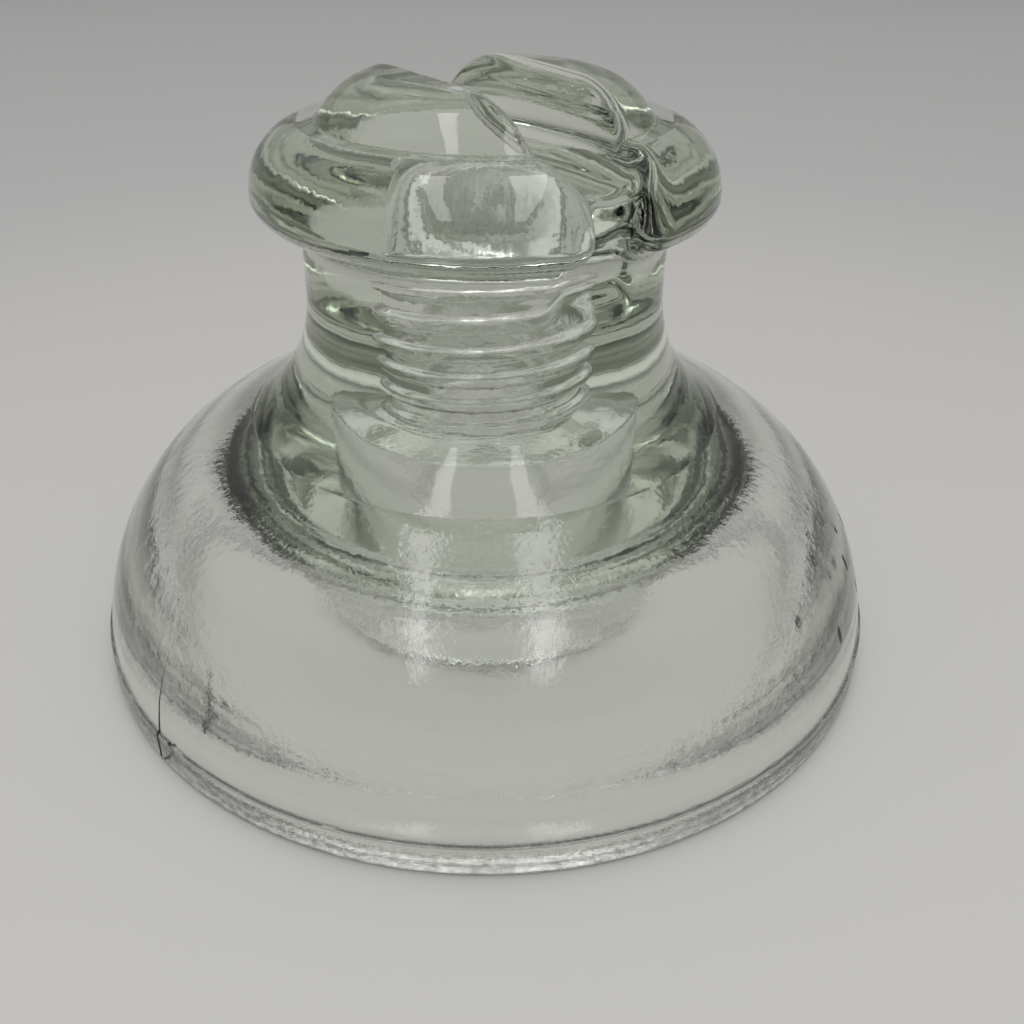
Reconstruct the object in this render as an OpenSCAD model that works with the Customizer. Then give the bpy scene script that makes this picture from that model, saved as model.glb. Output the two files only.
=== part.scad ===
// Pin-type wire insulator in pressed glass: one casting with a bell-shaped outer
// skirt, an inner skirt round the pin hole, a necked side groove and a crown that a
// saddle groove splits into two ears. It stands on its outer rim at z = 0, on the
// axis of the pin hole, and the saddle groove runs along Y.

/* [Outer skirt] */
// Largest radius of the bell, just above its rim
skirt_r = 84.7; // [82:0.1:88]
// Radius of the shoulder curve of the bell
shoulder_r = 50; // [46:1:54]
// Glass thickness of the bell at its rim
skirt_wall = 12.5; // [10:0.5:14]
// Height of the mould parting line above the rim
parting_z = 7; // [6:0.5:9]
// How far the rim band stands out below the parting line
parting_step = 0.3; // [0.2:0.1:1]
// Rounding of the outer edge of the rim
rim_r = 1.2; // [0.6:0.2:2.4]
// Rounding of the inner edge of the rim
rim_in_r = 8; // [6:0.5:9]

/* [Neck and side groove] */
// Radius of the neck at its narrowest
neck_r = 35.7; // [34:0.1:37]
// Height of the narrowest place above the rim
neck_z = 76; // [72:0.5:78]
// Radius of the crease where the bell meets the neck
crease_r = 49; // [47:0.5:50]

/* [Crown] */
// Largest radius of the bead round the crown
bead_r = 44.5; // [44:0.1:46]
// Height of the flat underside of the bead
bead_z = 90.2; // [89:0.2:92]
// Radius of the bead's upper curve
bead_curve_r = 12.5; // [12:0.1:13]
// Height of the tops of the ears
crown_z = 115; // [113.5:0.5:116]
// Radius of the domed caps on the ears
cap_curve_r = 16; // [14:0.5:18]
// Distance of the top of a cap from the axis
cap_top_r = 17.5; // [16:0.5:20]

/* [Saddle groove] */
// Radius of the round bottom of the groove
saddle_r = 9.5; // [8:0.5:11]
// Height of the floor of the groove
saddle_z = 101; // [99:0.5:103]
// How far each wall leans outwards at the top
saddle_flare = 1.5; // [0.5:0.5:4]
// Distance of the ends of the floor from the axis
saddle_end_r = 39; // [37:0.5:41]
// Width of the gap between the ends of the ears, below the floor
ear_gap = 9; // [7:0.5:12]
// Rounding of the ends of the ears, seen from above
ear_end_r = 5; // [3:0.5:7]

/* [Pin hole] */
// Radius of the thread's crests, the clear radius of the hole
pin_core_r = 13; // [12:0.1:13.5]
// Depth of the round thread cut into the wall
thread_depth = 1.4; // [1:0.1:2]
// Pitch of the thread, four turns to the inch
thread_pitch = 6.35; // [5:0.05:7]
// Height of the closed end of the hole
pin_top_z = 88; // [82:0.5:89]
// Height where the thread begins
thread_z = 46; // [42:0.5:50]
// Radius of the smooth bore just under the thread
bore_top_r = 22; // [19:0.5:24]

/* [Inner skirt and hollow] */
// Outer radius of the inner skirt at its rim
inner_skirt_r = 33.5; // [31:0.5:35]
// Radius of the mouth of the pin hole
mouth_r = 25; // [24:0.5:27]
// Height of the inner rim above the outer rim
inner_rim_z = 1.5; // [0.5:0.5:6]
// Height of the round ceiling between the two skirts
ceiling_z = 35; // [30:0.5:38]
// Height where the walls begin to curve into the ceiling
arch_z = 8; // [8:0.5:14]

/* [Hidden] */
$fn = 96;

// Points along an arc from angle a to angle b
function arc(c, r, a, b, steps = 12) =
    [for (i = [0 : steps]) c + r * [cos(a + (b - a) * i / steps), sin(a + (b - a) * i / steps)]];

// Bell: a shoulder curve that runs on into a flatter top curve at the same tangent
shoulder_c = [skirt_r - shoulder_r, 1.3];
top_blend = 61.4;
top_curve_r = shoulder_r + 31;
top_c = shoulder_c - (top_curve_r - shoulder_r) * [cos(top_blend), sin(top_blend)];
crease_a = acos((crease_r - top_c[0]) / top_curve_r);
crease_z = top_c[1] + top_curve_r * sin(crease_a);
parting_a = asin((parting_z + parting_step - shoulder_c[1]) / shoulder_r);
band_r = skirt_r + parting_step;

// Flare: one hollow curve from the crease up to the narrowest place of the neck
flare_in = crease_r - neck_r;
flare_up = neck_z - crease_z;
flare_r = (flare_in * flare_in + flare_up * flare_up) / (2 * flare_in);
flare_c = [neck_r + flare_r, neck_z];
flare_a = 180 + asin(flare_up / flare_r);

// Crown: root fillet, lower corner and upper curve of the bead, then the cap
root_r = 5;
lip_r = 4.5;
bead_c = [bead_r - bead_curve_r, bead_z + lip_r];
cap_c = [cap_top_r, crown_z - cap_curve_r];
ledge_z = bead_c[1] + bead_curve_r - 0.3;
ledge_a = acos(-0.3 / bead_curve_r + 1);
cap_a = asin((ledge_z - cap_c[1]) / cap_curve_r);

// Hollow: half an ellipse between the two skirts, on nearly upright walls
inner_rim_r = 1.5;
wall_in_r = skirt_r - skirt_wall;
arch_in_r = inner_skirt_r + 1.5;
arch_half = (wall_in_r - arch_in_r) / 2;
arch_mid_r = arch_in_r + arch_half;
arch_steps = 24;

// Pin hole: the smooth bore under the thread ends in a sloping shoulder
shoulder_low_z = thread_z - 3;
groove_start_z = thread_z - 2;
crown_cut = bead_r + 5;

// Round corners of the ears where the bead stops at the groove
ear_corner_x = ear_gap / 2 + ear_end_r;
ear_corner_y = bead_r - ear_end_r - 0.5;
gap_low_z = bead_z - root_r;

outer_outline = concat(
    [[0, 0]],
    arc([band_r - rim_r, rim_r], rim_r, -90, 0, 6),
    [[band_r, parting_z]],
    arc(shoulder_c, shoulder_r, parting_a, top_blend, 16),
    arc(top_c, top_curve_r, top_blend + 1, crease_a, 4),
    arc(flare_c, flare_r, flare_a, 180, 14),
    arc([neck_r + root_r, bead_z - root_r], root_r, 180, 90, 6),
    arc([bead_r - lip_r, bead_z + lip_r], lip_r, -90, 0, 6),
    arc(bead_c, bead_curve_r, 6, 90 - ledge_a, 12),
    arc(cap_c, cap_curve_r, cap_a, 90, 12),
    [[0, crown_z]]);

hollow_outline = concat(
    [[inner_skirt_r - inner_rim_r, -1], [wall_in_r + rim_in_r, -1], [wall_in_r + rim_in_r, 0]],
    arc([wall_in_r + rim_in_r, rim_in_r], rim_in_r, -90, -180, 6),
    [for (i = [0 : arch_steps]) let (a = 180 * i / arch_steps)
        [arch_mid_r + arch_half * cos(a), arch_z + (ceiling_z - arch_z) * sin(a)]],
    arc([inner_skirt_r - inner_rim_r, inner_rim_z + inner_rim_r], inner_rim_r, 0, -90, 4));

hole_outline = concat(
    [[0, -1], [inner_skirt_r - inner_rim_r, -1], [inner_skirt_r - inner_rim_r, inner_rim_z]],
    arc([mouth_r + inner_rim_r, inner_rim_z + inner_rim_r], inner_rim_r, -90, -180, 4),
    [[bore_top_r, shoulder_low_z], [pin_core_r + thread_depth + 0.4, thread_z], [0, thread_z]]);

module saddle_section() {
    translate([0, saddle_z + saddle_r]) circle(r = saddle_r);
    polygon([
        [-saddle_r, saddle_z + saddle_r],
        [saddle_r, saddle_z + saddle_r],
        [saddle_r + saddle_flare, crown_z + 1],
        [-saddle_r - saddle_flare, crown_z + 1]]);
}

// Outline seen from above of the gap that each end of the groove leaves in the bead
module bead_gap() {
    translate([-ear_gap / 2, 0]) square([ear_gap, crown_cut]);
    for (side = [-1, 1])
        difference() {
            translate([side > 0 ? 0 : -ear_corner_x, ear_corner_y]) square([ear_corner_x, crown_cut]);
            translate([side * ear_corner_x, ear_corner_y]) circle(r = ear_end_r);
        }
}

// Cuts the crown in two along Y and clears the bead at both ends of the groove
module saddle_cutter() {
    translate([0, crown_cut, 0]) rotate([90, 0, 0]) linear_extrude(2 * crown_cut) saddle_section();
    translate([0, 0, gap_low_z])
        difference() {
            for (turn = [0, 180])
                rotate([0, 0, turn]) linear_extrude(saddle_z + saddle_r - gap_low_z) bead_gap();
            cylinder(r1 = neck_r, r2 = saddle_end_r, h = saddle_z - gap_low_z);
            translate([0, 0, saddle_z - gap_low_z]) cylinder(r = saddle_end_r, h = saddle_r + 1);
        }
}

// Thread: a six-cornered groove section, swept up the helix ring by ring
groove_section = [[-0.6, -1.8], [0.9, -0.95], [1, -0.5], [1, 0.5], [0.9, 0.95], [-0.6, 1.8]];
turns = (pin_top_z - groove_start_z - 5) / thread_pitch;
steps_per_turn = 16;
groove_steps = floor(turns * steps_per_turn);

function groove_reach(p, i) =
    p[0] < 0 ? p[0] : p[0] * thread_depth * min(1, (groove_steps - i + 1) / (steps_per_turn / 2));

function groove_ring(i) =
    let (a = 360 * i / steps_per_turn, z = groove_start_z + thread_pitch * i / steps_per_turn)
    [for (p = groove_section)
        [(pin_core_r + groove_reach(p, i)) * cos(a), (pin_core_r + groove_reach(p, i)) * sin(a), z + p[1]]];

module thread_groove() {
    n = len(groove_section);
    points = [for (i = [0 : groove_steps]) each groove_ring(i)];
    walls = [for (i = [0 : groove_steps - 1]) for (j = [0 : n - 1])
        for (t = [0, 1]) t == 0
            ? [i * n + j, i * n + (j + 1) % n, (i + 1) * n + j]
            : [i * n + (j + 1) % n, (i + 1) * n + (j + 1) % n, (i + 1) * n + j]];
    ends = [[for (j = [n - 1 : -1 : 0]) j], [for (j = [0 : n - 1]) groove_steps * n + j]];
    polyhedron(points = points, faces = concat(walls, ends), convexity = 8);
}

module pin_hole() {
    rotate_extrude() polygon(hole_outline);
    translate([0, 0, thread_z - 1]) cylinder(r = pin_core_r, h = pin_top_z - thread_z + 1);
    thread_groove();
}

module glass_insulator() {
    color([0.86, 0.9, 0.87, 0.5])
        difference() {
            rotate_extrude() polygon(outer_outline);
            rotate_extrude() polygon(hollow_outline);
            pin_hole();
            saddle_cutter();
        }
}

glass_insulator();
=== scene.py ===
import math

import bpy
import numpy as np
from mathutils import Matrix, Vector


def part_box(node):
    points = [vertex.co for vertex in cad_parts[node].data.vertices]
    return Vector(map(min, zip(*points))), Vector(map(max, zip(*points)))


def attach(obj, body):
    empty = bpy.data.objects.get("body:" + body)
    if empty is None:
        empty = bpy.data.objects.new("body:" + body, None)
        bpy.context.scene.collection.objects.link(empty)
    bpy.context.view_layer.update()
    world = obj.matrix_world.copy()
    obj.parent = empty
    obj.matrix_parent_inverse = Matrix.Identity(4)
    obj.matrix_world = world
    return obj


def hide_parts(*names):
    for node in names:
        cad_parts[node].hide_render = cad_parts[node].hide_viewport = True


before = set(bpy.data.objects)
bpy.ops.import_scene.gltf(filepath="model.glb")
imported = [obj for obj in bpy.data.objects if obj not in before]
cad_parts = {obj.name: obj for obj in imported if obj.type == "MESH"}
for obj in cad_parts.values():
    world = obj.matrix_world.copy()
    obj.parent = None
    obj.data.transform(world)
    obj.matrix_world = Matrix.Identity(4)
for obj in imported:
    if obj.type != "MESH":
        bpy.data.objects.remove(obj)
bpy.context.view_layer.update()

# ---------------------------------------------------------------- sizes, in millimetres
MM = 0.001
NODE = "glass_insulator"
node_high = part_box(NODE)[1]
BAND_R = node_high[0] / MM
TOP_Z = node_high[2] / MM

PARTING_STEP = 0.3
SKIRT_R = BAND_R - PARTING_STEP
SHOULDER_R = 50.0
SHOULDER_Z = 1.3
TOP_CURVE_R = SHOULDER_R + 31
TOP_BLEND = 61.4
SKIRT_WALL = 12.5
PARTING_Z = 7.0
RIM_R = 1.2
RIM_IN_R = 8.0
NECK_R = 35.7
NECK_Z = 76.0
CREASE_R = 49.0
BEAD_R = 44.5
BEAD_Z = 90.2
BEAD_CURVE_R = 12.5
ROOT_R = 5.0
LIP_R = 4.5
LEDGE_DROP = 0.3
CAP_CURVE_R = 16.0
CAP_TOP_R = 17.5
SADDLE_R = 9.5
SADDLE_Z = 101.0
SADDLE_FLARE = 1.5
SADDLE_END_R = 39.0
EAR_GAP = 9.0
PIN_CORE_R = 13.0
PIN_END_R = 1.5
THREAD_DEPTH = 1.4
THREAD_PITCH = 6.35
PIN_TOP_Z = 88.0
THREAD_Z = 46.0
BORE_TOP_R = 22.0
INNER_SKIRT_R = 33.5
INNER_RIM_R = 1.5
MOUTH_R = 25.0
INNER_RIM_Z = 1.5
CEILING_Z = 35.0
ARCH_Z = 8.0

# melted edges of the pressed glass, and how far its surface stays inside the sizes above
EAR_MELT = 6.0
GROOVE_MELT = 2.0
SKIN = 0.12
FOOT_GAP = 0.01
BOX_GAP = 0.05

# size of a mesh cell, and the step and start of the distance table
CELL = 0.6
TABLE_STEP = 0.15
TABLE_LOW = (-1.5, -3.0)


# ---------------------------------------------------------------- outline of the casting
def polar(centre, radius, degrees):
    turn = math.radians(degrees)
    return (centre[0] + radius * math.cos(turn), centre[1] + radius * math.sin(turn))


def arc(centre, radius, start, stop, steps):
    return [polar(centre, radius, start + (stop - start) * i / steps) for i in range(steps + 1)]


def outer_outline():
    """Outside of the casting from the foot of the rim up to the axis, as (radius, height) points."""
    shoulder = (SKIRT_R - SHOULDER_R, SHOULDER_Z)
    top = polar(shoulder, SHOULDER_R - TOP_CURVE_R, TOP_BLEND)
    crease = math.degrees(math.acos((CREASE_R - top[0]) / TOP_CURVE_R))
    crease_z = polar(top, TOP_CURVE_R, crease)[1]
    parting = math.degrees(math.asin((PARTING_Z + PARTING_STEP - shoulder[1]) / SHOULDER_R))
    flare_in = CREASE_R - NECK_R
    flare_up = NECK_Z - crease_z
    flare_r = (flare_in**2 + flare_up**2) / (2 * flare_in)
    flare = 180 + math.degrees(math.asin(flare_up / flare_r))
    bead = (BEAD_R - BEAD_CURVE_R, BEAD_Z + LIP_R)
    cap = (CAP_TOP_R, TOP_Z - CAP_CURVE_R)
    ledge_z = bead[1] + BEAD_CURVE_R - LEDGE_DROP
    ledge = math.degrees(math.acos(1 - LEDGE_DROP / BEAD_CURVE_R))
    cap_foot = math.degrees(math.asin((ledge_z - cap[1]) / CAP_CURVE_R))
    return (
        arc((BAND_R - RIM_R, RIM_R), RIM_R, -90, 0, 16)
        + [(BAND_R, PARTING_Z)]
        + arc(shoulder, SHOULDER_R, parting, TOP_BLEND, 60)
        + arc(top, TOP_CURVE_R, TOP_BLEND, crease, 16)
        + arc((NECK_R + flare_r, NECK_Z), flare_r, flare, 180, 50)
        + arc((NECK_R + ROOT_R, BEAD_Z - ROOT_R), ROOT_R, 180, 90, 12)
        + arc((BEAD_R - LIP_R, BEAD_Z + LIP_R), LIP_R, -90, 0, 12)
        + arc(bead, BEAD_CURVE_R, 3, 90 - ledge, 40)
        + arc(cap, CAP_CURVE_R, cap_foot, 90, 40)
    )


def inner_outline():
    """Inside of the casting from the closed end of the pin hole down and round to the rim's foot."""
    wall_in = SKIRT_R - SKIRT_WALL
    arch_in = INNER_SKIRT_R + INNER_RIM_R
    arch_half = (wall_in - arch_in) / 2
    arch_mid = arch_in + arch_half
    arch = [
        (arch_mid - arch_half * math.cos(turn), ARCH_Z + (CEILING_Z - ARCH_Z) * math.sin(turn))
        for turn in np.linspace(0, math.pi, 73)
    ]
    return (
        arc((PIN_CORE_R - PIN_END_R, PIN_TOP_Z - PIN_END_R), PIN_END_R, 90, 0, 6)
        + [(PIN_CORE_R, THREAD_Z + 1), (BORE_TOP_R, THREAD_Z - 3)]
        + arc((MOUTH_R + INNER_RIM_R, INNER_RIM_Z + INNER_RIM_R), INNER_RIM_R, -180, -90, 12)
        + arc((INNER_SKIRT_R - INNER_RIM_R, INNER_RIM_Z + INNER_RIM_R), INNER_RIM_R, -90, 0, 12)
        + arch
        + arc((wall_in + RIM_IN_R, RIM_IN_R), RIM_IN_R, -180, -90, 16)
    )


# ---------------------------------------------------------------- distance fields
def outline_distance(points, outline):
    """Signed distance of (radius, height) points to the closed outline, negative in the glass."""
    best = np.full(len(points), 1e9)
    inside = np.zeros(len(points), bool)
    x, z = points[:, 0], points[:, 1]
    for (ax, az), (bx, bz) in zip(outline, outline[1:] + outline[:1]):
        ex, ez = bx - ax, bz - az
        length2 = ex * ex + ez * ez
        if length2 < 1e-12:
            continue
        share = np.clip(((x - ax) * ex + (z - az) * ez) / length2, 0, 1)
        best = np.minimum(best, (x - ax - share * ex) ** 2 + (z - az - share * ez) ** 2)
        if az != bz:
            inside ^= ((az > z) != (bz > z)) & (x < (bx - ax) * (z - az) / (bz - az) + ax)
    return np.where(inside, -1, 1) * np.sqrt(best)


def make_table():
    """Distance table on a grid of radius and height; the half on the far side of the axis mirrors it."""
    past_axis = [(-40, TOP_Z), (-40, PIN_TOP_Z)]
    outline = outer_outline() + past_axis + inner_outline()
    radii = np.arange(TABLE_LOW[0], BAND_R + 4, TABLE_STEP)
    heights = np.arange(TABLE_LOW[1], TOP_Z + 4, TABLE_STEP)
    grid = np.stack(np.meshgrid(np.abs(radii), heights, indexing="ij"), -1).reshape(-1, 2)
    return outline_distance(grid, outline).reshape(len(radii), len(heights)).astype(np.float32)


def cubic_weights(t):
    """Weights of the four neighbours for a smooth cubic between the middle two."""
    return (
        ((2 - t) * t - 1) * t / 2,
        (t * t * (3 * t - 5) + 2) / 2,
        ((4 - 3 * t) * t + 1) * t / 2,
        (t - 1) * t * t / 2,
    )


def read_table(table, r, z):
    u = np.clip((r - TABLE_LOW[0]) / TABLE_STEP, 1, table.shape[0] - 3.001)
    v = np.clip((z - TABLE_LOW[1]) / TABLE_STEP, 1, table.shape[1] - 3.001)
    iu, iv = u.astype(int), v.astype(int)
    wu, wv = cubic_weights(u - iu), cubic_weights(v - iv)
    total = 0
    for a in range(4):
        for b in range(4):
            total = total + wu[a] * wv[b] * table[iu + a - 1, iv + b - 1]
    return total


def smooth_max(a, b, width):
    near = np.maximum(width - np.abs(a - b), 0) / width
    return np.maximum(a, b) + near * near * width / 4


def smooth_step(low, high, value):
    t = np.clip((value - low) / (high - low), 0, 1)
    return t * t * (3 - 2 * t)


def thread_reach(x, y, r, z):
    """How deep the round thread goes into the wall of the pin hole here."""
    phase = 2 * np.pi * z / THREAD_PITCH - np.arctan2(y, x)
    wave = smooth_step(-0.55, 0.75, np.cos(phase))
    run = smooth_step(THREAD_Z - 3, THREAD_Z + 1, z) * (1 - smooth_step(PIN_TOP_Z - 7, PIN_TOP_Z - 3, z))
    near = 1 - smooth_step(PIN_CORE_R + 4, PIN_CORE_R + 14, r)
    return THREAD_DEPTH * wave * run * near


def surface_waves(x, y, z):
    """The slight waviness that pressed glass keeps from its mould, in millimetres."""
    total = 0
    rng = np.random.default_rng(7)
    for size, height in ((34, 0.05), (21, 0.03), (13, 0.016), (8, 0.008)):
        for _ in range(4):
            turn = rng.normal(size=3)
            turn *= 2 * np.pi / size / np.linalg.norm(turn)
            phase = rng.uniform(0, 6.28)
            total = total + height / 2 * np.sin(turn[0] * x + turn[1] * y + turn[2] * z + phase)
    return total


def casting(table, x, y, z):
    """Implicit surface of the whole casting: negative in the glass."""
    r = np.sqrt(x * x + y * y)
    body = read_table(table, r - thread_reach(x, y, r, z), z)
    centre_z = SADDLE_Z + SADDLE_R
    lean = SADDLE_FLARE / (TOP_Z - centre_z)
    across = np.abs(x)
    round_part = np.sqrt(x * x + (z - centre_z) ** 2 + 1e-9) - SADDLE_R
    wall_part = (across - SADDLE_R - lean * (z - centre_z)) / math.hypot(1, lean)
    saddle = np.where(z < centre_z, round_part, wall_part)
    low_z = BEAD_Z - ROOT_R
    end_r = NECK_R + (SADDLE_END_R - NECK_R) * np.clip((z - low_z) / (SADDLE_Z - low_z), 0, 1)
    gap = smooth_max(across - EAR_GAP / 2, end_r - r, GROOVE_MELT)
    gap = smooth_max(gap, low_z - z, GROOVE_MELT)
    shape = smooth_max(body, -gap, EAR_MELT)
    shape = smooth_max(shape, -saddle, GROOVE_MELT)
    shape = shape + (surface_waves(x, y, z) + SKIN) * smooth_step(0.2, 3, z) + FOOT_GAP
    return np.maximum(shape, np.maximum(r - BAND_R, z - TOP_Z) + BOX_GAP)


# ---------------------------------------------------------------- mesh from the implicit surface
def sample_grid(table):
    half = BAND_R + 1.5 * CELL
    xs = np.arange(-half, half + CELL, CELL)
    zs = np.arange(-1.5 * CELL, TOP_Z + 2 * CELL, CELL)
    x, y = np.meshgrid(xs, xs, indexing="ij")
    volume = np.empty((len(xs), len(xs), len(zs)), np.float32)
    radius = np.hypot(x, y)
    radii = TABLE_LOW[0] + TABLE_STEP * np.arange(table.shape[0])
    for k, z in enumerate(zs):
        column = (z - TABLE_LOW[1]) / TABLE_STEP
        share = column - int(column)
        across = (1 - share) * table[:, int(column)] + share * table[:, int(column) + 1]
        layer = np.interp(radius, radii, across)
        near = np.abs(layer) < 3
        if z > BEAD_Z - 2 * ROOT_R:
            near |= radius < BEAD_R + 3
        layer[near] = casting(table, x[near], y[near], np.full(near.sum(), z))
        volume[:, :, k] = layer
    return xs[0], zs[0], volume


def surface_net(volume):
    """Quads round the zero level: one vertex in each cell that the surface crosses."""
    inside = volume < 0
    corners = [(a, b, c) for a in (0, 1) for b in (0, 1) for c in (0, 1)]
    size = np.array(volume.shape) - 1
    count = np.zeros(size, np.int8)
    for a, b, c in corners:
        count += inside[a : a + size[0], b : b + size[1], c : c + size[2]]
    active = (count > 0) & (count < 8)
    cells = np.argwhere(active)
    number = np.full(size, -1, np.int32)
    number[active] = np.arange(len(cells))
    place = np.zeros((len(cells), 3))
    crossings = np.zeros(len(cells))
    for a in corners:
        for axis in range(3):
            if a[axis]:
                continue
            b = list(a)
            b[axis] = 1
            va = volume[tuple((cells + a).T)]
            vb = volume[tuple((cells + b).T)]
            cut = (va < 0) != (vb < 0)
            share = np.where(cut, va / np.where(cut, va - vb, 1), 0)
            spot = np.array(a) + share[:, None] * (np.array(b) - np.array(a))
            place += np.where(cut[:, None], spot, 0)
            crossings += cut
    place = cells + place / crossings[:, None]
    quads = []
    for axis in range(3):
        step = np.eye(3, dtype=int)[axis]
        s, t = np.eye(3, dtype=int)[(axis + 1) % 3], np.eye(3, dtype=int)[(axis + 2) % 3]
        here = inside[: volume.shape[0] - step[0], : volume.shape[1] - step[1], : volume.shape[2] - step[2]]
        there = inside[step[0] :, step[1] :, step[2] :]
        edges = np.argwhere(here != there)
        flip = here[tuple(edges.T)]
        ring = [edges - s - t, edges - t, edges, edges - s]
        quad = np.stack([number[tuple(c.T)] for c in ring], 1)
        quad[~flip] = quad[~flip][:, ::-1]
        quads.append(quad)
    return place, np.concatenate(quads)


def gradient(table, points, reach=0.05):
    slopes = []
    for axis in range(3):
        step = np.zeros(3)
        step[axis] = reach
        ahead = casting(table, *(points + step).T)
        behind = casting(table, *(points - step).T)
        slopes.append((ahead - behind) / (2 * reach))
    return np.stack(slopes, 1)


def make_casting():
    table = make_table()
    low_xy, low_z, volume = sample_grid(table)
    place, quads = surface_net(volume)
    points = place * CELL + np.array([low_xy, low_xy, low_z])
    for _ in range(3):
        slope = gradient(table, points)
        value = casting(table, *points.T)
        move = (value / np.maximum((slope**2).sum(1), 0.05))[:, None] * slope
        length = np.linalg.norm(move, axis=1, keepdims=True)
        points -= move * np.minimum(1, 0.5 * CELL / np.maximum(length, 1e-9))
    normals = gradient(table, points)
    normals /= np.linalg.norm(normals, axis=1, keepdims=True)
    points *= MM
    mesh = bpy.data.meshes.new("pressed_glass")
    mesh.vertices.add(len(points))
    mesh.vertices.foreach_set("co", points.astype(np.float32).ravel())
    mesh.loops.add(quads.size)
    mesh.loops.foreach_set("vertex_index", quads.astype(np.int32).ravel())
    mesh.polygons.add(len(quads))
    mesh.polygons.foreach_set("loop_start", np.arange(0, quads.size, 4, dtype=np.int32))
    mesh.update(calc_edges=True)
    mesh.validate()
    mesh.polygons.foreach_set("use_smooth", np.ones(len(mesh.polygons), bool))
    mesh.normals_split_custom_set_from_vertices(normals.tolist())
    piece = bpy.data.objects.new("pressed_glass", mesh)
    bpy.context.scene.collection.objects.link(piece)
    return piece


# ---------------------------------------------------------------- looks, in metres
GLASS_IOR = 1.52
GLASS_TINT = (0.68, 0.74, 0.62, 1)
TINT_DENSITY = 14.0
BUMP_STRENGTH = 0.35
BUMP_DEPTH = 0.0003
HOLE_R = 0.026
HOLE_HAZE = 0.16
HANDLING_HAZE = 0.05
FOOT_HAZE = 0.3
# colour of the dark marks: dirt, and painted contact shade on the foot band
DIRT_AND_SHADE = (0.02, 0.022, 0.02, 1)

# relief of the surface: how fine each kind is, and how deep it is against the others
DIMPLE_SCALE = 130
DIMPLE_DEPTH = 0.9
PEEL_SCALE = 620
PEEL_ON_CROWN = 0.12
PEEL_ON_BELL = 0.6
PIT_SCALE = 1500
PIT_DEPTH = 0.7
GRAIN_SCALE = 320
GRAIN_DEPTH = 1.6

# share of the table's light that passes through the glass: under the rim, at its foot and above
LIGHT_UNDER = 0.65
LIGHT_FOOT = 0.25
LIGHT_ABOVE = 0.97

# marks: radii that tell the outside of the bell and its rim band, then each kind of mark
OUTSIDE_R = 0.0755
BAND_IN_R = 0.083
CRACK_TURN = math.radians(191)
CRACK_TOP = 0.028
CRACK_WIDTH = 0.00026
CRACK_WANDER = 0.0012
PARTING_LINE = (PARTING_Z + 0.1) * MM
PARTING_HALF = 0.00012
SPECK_TURN = math.radians(-25)
SPECK_R = 0.0009
SPECK_SCALE = 170.0
SPECK_STRETCH = 0.5
SPECK_LOW = 0.012
SPECK_ASIDE = 0.06
SPECK_RARITY = 0.65
# how dark the foot band gets: dirt and painted contact shade
FOOT_DIRT_AND_SHADE = 0.45


class Tree:
    """Short ways to add nodes to a material or world."""

    def __init__(self, owner):
        owner.use_nodes = True
        self.nodes = owner.node_tree.nodes
        self.links = owner.node_tree.links

    def add(self, kind, settings=(), **inputs):
        """A new node; an input named _0, _1 and so on is the socket of that number."""
        node = self.nodes.new(kind)
        for name, value in dict(settings).items():
            setattr(node, name, value)
        for name, value in inputs.items():
            socket = node.inputs[int(name[1:]) if name[1:].isdigit() else name.replace("_", " ")]
            if isinstance(value, bpy.types.NodeSocket):
                self.links.new(value, socket)
            else:
                socket.default_value = value
        return node

    def math(self, operation, *values):
        sockets = {f"_{i}": value for i, value in enumerate(values)}
        return self.add("ShaderNodeMath", {"operation": operation}, **sockets).outputs[0]

    def along(self, part, turn):
        """How far a place is from the axis in the level direction that turn gives."""
        x = self.math("MULTIPLY", part["X"], math.cos(turn))
        y = self.math("MULTIPLY", part["Y"], math.sin(turn))
        return self.math("ADD", x, y)

    def noise(self, vector, scale, detail=2.0, roughness=0.5):
        return self.add(
            "ShaderNodeTexNoise", Vector=vector, Scale=scale, Detail=detail, Roughness=roughness
        ).outputs["Fac"]

    def ramp(self, value, low, high, out_low=0.0, out_high=1.0):
        node = self.add("ShaderNodeMapRange", {"interpolation_type": "SMOOTHSTEP"}, Value=value)
        limits = {"From Min": low, "From Max": high, "To Min": out_low, "To Max": out_high}
        for name, number in limits.items():
            node.inputs[name].default_value = number
        return node.outputs["Result"]


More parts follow.
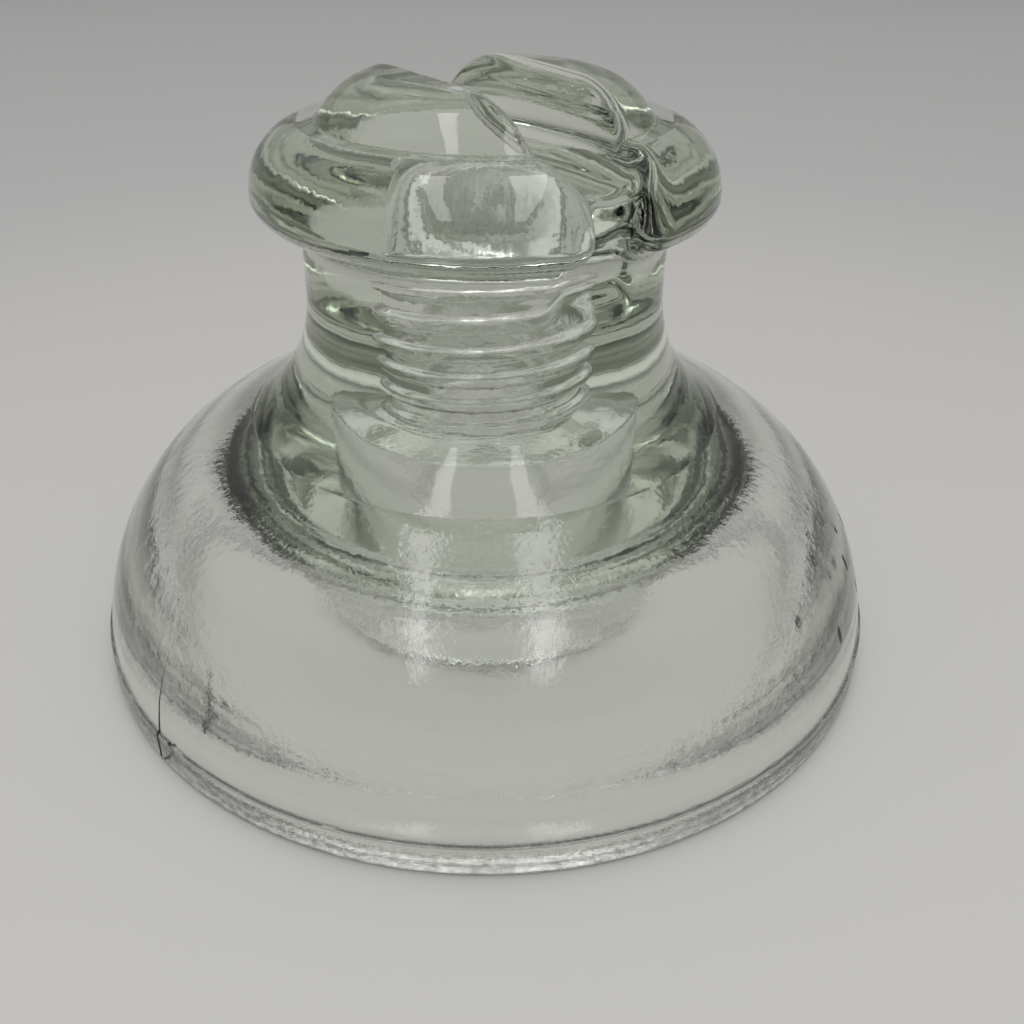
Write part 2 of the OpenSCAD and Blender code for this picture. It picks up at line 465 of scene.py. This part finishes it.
def wear_and_foot_shade(tree, place, part, radius):
    """Where dark marks sit: dirt in a crack, along the mould's parting line and in open bubbles, and on the
    foot a band that is partly dirt and partly painted contact shade, darker towards the bottom.
    """
    outside = tree.math("GREATER_THAN", radius, OUTSIDE_R)
    aside = tree.along(part, CRACK_TURN + math.pi / 2)
    wander = tree.math("MULTIPLY", tree.math("SUBTRACT", tree.noise(place, 90, 3), 0.5), CRACK_WANDER)
    aside = tree.math("ABSOLUTE", tree.math("ADD", aside, wander))
    crack = tree.math("LESS_THAN", aside, tree.ramp(part["Z"], CRACK_TOP, -0.004, 0, CRACK_WIDTH * 2))
    crack = tree.math("MULTIPLY", crack, tree.math("LESS_THAN", part["X"], 0))
    height = tree.math("ABSOLUTE", tree.math("SUBTRACT", part["Z"], PARTING_LINE))
    breaks = tree.ramp(tree.noise(place, 160, 3), 0.33, 0.5, 0, PARTING_HALF)
    line = tree.math("MULTIPLY", tree.math("LESS_THAN", height, breaks), 0.6)
    turn = tree.math("MULTIPLY", tree.math("ARCTAN2", part["Y"], part["X"]), BAND_R * MM)
    squeezed = tree.math("MULTIPLY", part["Z"], SPECK_STRETCH)
    unrolled = tree.add("ShaderNodeCombineXYZ", X=turn, Y=squeezed).outputs["Vector"]
    cells = tree.add(
        "ShaderNodeTexVoronoi", {"voronoi_dimensions": "2D"}, Vector=unrolled, Scale=SPECK_SCALE
    ).outputs
    lot = tree.add("ShaderNodeSeparateColor", Color=cells["Color"]).outputs[0]
    few = tree.math("GREATER_THAN", lot, SPECK_RARITY)
    specks = tree.math("LESS_THAN", cells["Distance"], tree.math("MULTIPLY", few, SPECK_R * SPECK_SCALE))
    specks = tree.math("MULTIPLY", specks, tree.math("GREATER_THAN", part["Z"], SPECK_LOW))
    on_side = tree.math("GREATER_THAN", tree.along(part, SPECK_TURN), SPECK_ASIDE)
    specks = tree.math("MULTIPLY", specks, on_side)
    # painted contact shade with dirt: the band below the parting line darkens towards the foot
    foot = tree.ramp(part["Z"], PARTING_LINE, PARTING_LINE / 2, 0, FOOT_DIRT_AND_SHADE)
    foot = tree.math("MULTIPLY", foot, tree.ramp(tree.noise(place, 700, 3, 0.6), 0.3, 0.7))
    foot = tree.math("MULTIPLY", foot, tree.math("GREATER_THAN", radius, BAND_IN_R))
    marks = tree.math("MAXIMUM", tree.math("MAXIMUM", crack, line), tree.math("MULTIPLY", specks, 0.85))
    return tree.math("MULTIPLY", tree.math("MAXIMUM", marks, foot), outside)


def glass_material():
    material = bpy.data.materials.new("clear_glass")
    tree = Tree(material)
    shader = tree.nodes["Principled BSDF"]
    output = tree.nodes["Material Output"]
    place = tree.add("ShaderNodeTexCoord").outputs["Object"]
    part = tree.add("ShaderNodeSeparateXYZ", Vector=place).outputs
    flat = tree.add("ShaderNodeCombineXYZ", X=part["X"], Y=part["Y"]).outputs["Vector"]
    radius = tree.add("ShaderNodeVectorMath", {"operation": "LENGTH"}, _0=flat).outputs["Value"]
    shader.inputs["Base Color"].default_value = (1, 1, 1, 1)
    shader.inputs["Transmission Weight"].default_value = 1.0
    shader.inputs["IOR"].default_value = GLASS_IOR

    # slightly hazy where it was handled, hazier in the hole and on the foot
    in_hole = tree.ramp(radius, HOLE_R + 0.0005, HOLE_R - 0.0005)
    in_hole = tree.math("MULTIPLY", in_hole, tree.math("LESS_THAN", part["Z"], (PIN_TOP_Z + 2) * MM))
    haze = tree.math("MULTIPLY", in_hole, HOLE_HAZE)
    handling = tree.ramp(tree.noise(place, 45, 4, 0.6), 0.35, 0.75, 0.0, HANDLING_HAZE)
    ground_foot = tree.ramp(part["Z"], 0.0014, 0.0003, 0.0, FOOT_HAZE)
    rough = tree.math("ADD", tree.math("ADD", haze, handling), ground_foot)
    tree.links.new(rough, shader.inputs["Roughness"])

    # pressed surface: slow dimples, orange peel (deeper on the bell), pits on the foot, grain in the hole
    dimples = tree.noise(place, DIMPLE_SCALE, 2)
    peel = tree.noise(place, PEEL_SCALE, 3, 0.6)
    peel = tree.math("MULTIPLY", peel, tree.ramp(radius, 0.044, 0.052, PEEL_ON_CROWN, PEEL_ON_BELL))
    pits = tree.math("MULTIPLY", tree.noise(place, PIT_SCALE, 2), tree.ramp(part["Z"], 0.0022, 0.0006))
    relief = tree.math("ADD", tree.math("MULTIPLY", dimples, DIMPLE_DEPTH), peel)
    relief = tree.math("ADD", relief, tree.math("MULTIPLY", pits, PIT_DEPTH))
    grain = tree.math("MULTIPLY", tree.noise(place, GRAIN_SCALE, 3, 0.6), in_hole)
    relief = tree.math("ADD", relief, tree.math("MULTIPLY", grain, GRAIN_DEPTH))
    bump = tree.add("ShaderNodeBump", Strength=BUMP_STRENGTH, Distance=BUMP_DEPTH, Height=relief)
    tree.links.new(bump.outputs["Normal"], shader.inputs["Normal"])

    absorb = tree.add("ShaderNodeVolumeAbsorption", Color=GLASS_TINT, Density=TINT_DENSITY)
    tree.links.new(absorb.outputs["Volume"], output.inputs["Volume"])

    # one dark shader for all marks: dirt, and painted contact shade on the foot band
    dirt_and_shade = tree.add("ShaderNodeBsdfPrincipled", Base_Color=DIRT_AND_SHADE, Roughness=0.8)
    marks = wear_and_foot_shade(tree, place, part, radius)
    glass = tree.add("ShaderNodeMixShader", _0=marks, _1=shader.outputs[0], _2=dirt_and_shade.outputs[0])

    # light that falls on the table passes straight through the glass, least through its foot
    ray = tree.add("ShaderNodeLightPath").outputs
    straight = tree.math("MAXIMUM", ray["Is Shadow Ray"], ray["Is Diffuse Ray"])
    underside = tree.ramp(part["Z"], 0.0003, 0.0001, 0.0, LIGHT_UNDER)
    pass_on = tree.math("MAXIMUM", underside, tree.ramp(part["Z"], 0.0, 0.006, LIGHT_FOOT, LIGHT_ABOVE))
    through = tree.add("ShaderNodeBsdfTransparent", Color=pass_on)
    whole = tree.add("ShaderNodeMixShader", _0=straight, _1=glass.outputs[0], _2=through.outputs[0])
    tree.links.new(whole.outputs[0], output.inputs["Surface"])
    return material


# ---------------------------------------------------------------- object
glass = make_casting()
glass.data.materials.append(glass_material())
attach(glass, "root")
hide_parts(NODE)


# ---------------------------------------------------------------- stage, light and camera
CAMERA_TURN = -32.0
CAMERA_PITCH = 32.26
CAMERA_BACK = 0.1997
CAMERA_UP = 0.1461
LENS = 36.1
SENSOR = 36
SHIFT_X = 0.0264
SKY_LOW = 0.36
SKY_HIGH = 0.75
ROOM_DARK = 0.15
# table colours near and far from the object; the lighter, warmer near colour is a painted pool of light
TABLE_NEAR = (0.63, 0.622, 0.605, 1)
TABLE_FAR = (0.58, 0.578, 0.578, 1)
TABLE_FLAT = 1.5
TABLE_BEND = 0.5
TABLE_EDGE = 0.6
TABLE_SIDES = 96
LAMP_UP = 0.6


def turned(x, y, z):
    """A place given with the camera straight in front, turned to where the camera really is."""
    turn = math.radians(CAMERA_TURN)
    return (x * math.cos(turn) - y * math.sin(turn), x * math.sin(turn) + y * math.cos(turn), z)


def make_floor():
    """A round pale table whose far edge curves up all round."""
    bend = [
        (TABLE_FLAT + TABLE_BEND * math.sin(a), TABLE_BEND - TABLE_BEND * math.cos(a))
        for a in np.linspace(0.1, math.pi / 2, 16)
    ]
    outline = [(TABLE_FLAT, 0.0)] + bend + [(TABLE_FLAT + TABLE_BEND, TABLE_EDGE)]
    points = [
        (r * math.cos(turn), r * math.sin(turn), z)
        for turn in np.linspace(0, 2 * math.pi, TABLE_SIDES, endpoint=False)
        for r, z in outline
    ]
    count = len(outline)
    faces = []
    for i in range(TABLE_SIDES):
        this, after = i * count, (i + 1) % TABLE_SIDES * count
        faces += [(this + k, this + k + 1, after + k + 1, after + k) for k in range(count - 1)]
    faces.append([i * count for i in range(TABLE_SIDES)])
    mesh = bpy.data.meshes.new("table")
    mesh.from_pydata(points, [], faces)
    mesh.validate()
    floor = bpy.data.objects.new("table", mesh)
    floor.data.materials.append(table_material())
    bpy.context.scene.collection.objects.link(floor)


def table_material():
    """Matt pale table colour with a painted pool of light: warmer and slightly lighter near the object."""
    material = bpy.data.materials.new("table_paint_and_light_pool")
    tree = Tree(material)
    shader = tree.nodes["Principled BSDF"]
    place = tree.add("ShaderNodeTexCoord").outputs["Object"]
    away = tree.add("ShaderNodeVectorMath", {"operation": "LENGTH"}, _0=place).outputs["Value"]
    # painted pool of light: the table is lighter and warmer near the object
    far = tree.ramp(away, 0.2, 0.42)
    paint_and_light_pool = tree.add("ShaderNodeMix", {"data_type": "RGBA"}, Factor=far, _6=TABLE_NEAR, _7=TABLE_FAR)
    tree.links.new(paint_and_light_pool.outputs[2], shader.inputs["Base Color"])
    shader.inputs["Roughness"].default_value = 0.6
    return material


def strip_light(name, start, end, width, power):
    """A long soft lamp that faces down, from one place to another in the camera's own directions."""
    start = Vector(turned(*start, LAMP_UP))
    end = Vector(turned(*end, LAMP_UP))
    light = bpy.data.lights.new(name, "AREA")
    light.shape = "RECTANGLE"
    light.size = width
    light.size_y = (end - start).length
    light.energy = power
    lamp = bpy.data.objects.new(name, light)
    lamp.location = (start + end) / 2
    lamp.rotation_euler.z = math.atan2(start.x - end.x, end.y - start.y)
    bpy.context.scene.collection.objects.link(lamp)


def make_world():
    """Soft light from above and behind; the room is darker low down on the camera's side."""
    world = bpy.data.worlds.new("studio")
    tree = Tree(world)
    place = tree.add("ShaderNodeTexCoord").outputs["Generated"]
    height = tree.add("ShaderNodeSeparateXYZ", Vector=place).outputs["Z"]
    front = tree.add("ShaderNodeVectorMath", {"operation": "DOT_PRODUCT"}, _0=place, _1=turned(0, -1, 0))
    near = tree.ramp(front.outputs["Value"], 0.2, 0.8)
    low = tree.ramp(height, 0.85, 0.3)
    dark = tree.math("MULTIPLY", tree.math("MULTIPLY", near, low), 1 - ROOM_DARK)
    bright = tree.ramp(height, 0.0, 0.9, SKY_LOW, SKY_HIGH)
    light = tree.math("MULTIPLY", bright, tree.math("SUBTRACT", 1, dark))
    sky = tree.nodes["Background"]
    sky.inputs["Color"].default_value = (1, 0.995, 0.985, 1)
    tree.links.new(light, sky.inputs["Strength"])
    bpy.context.scene.world = world


def make_camera():
    data = bpy.data.cameras.new("camera")
    data.sensor_width = SENSOR
    data.lens = LENS
    data.shift_x = SHIFT_X
    data.clip_start = 0.01
    camera = bpy.data.objects.new("camera", data)
    camera.location = turned(0, -CAMERA_BACK, CAMERA_UP)
    camera.rotation_euler = (math.radians(90 - CAMERA_PITCH), 0, math.radians(CAMERA_TURN))
    bpy.context.scene.collection.objects.link(camera)
    bpy.context.scene.camera = camera


def set_light_paths():
    """Enough bounces for the thick glass; its caustics would only be noise."""
    paths = bpy.context.scene.cycles
    paths.max_bounces = 20
    paths.transmission_bounces = 20
    paths.transparent_max_bounces = 16
    paths.caustics_refractive = False
    paths.caustics_reflective = False


make_world()
make_floor()
strip_light("window_left", start=(-0.11, 0.10), end=(-0.26, -0.80), width=0.07, power=0.7)
strip_light("window_right", start=(0.09, 0.10), end=(0.24, -0.80), width=0.09, power=0.8)
make_camera()
bpy.context.scene.view_settings.view_transform = "Standard"
set_light_paths()
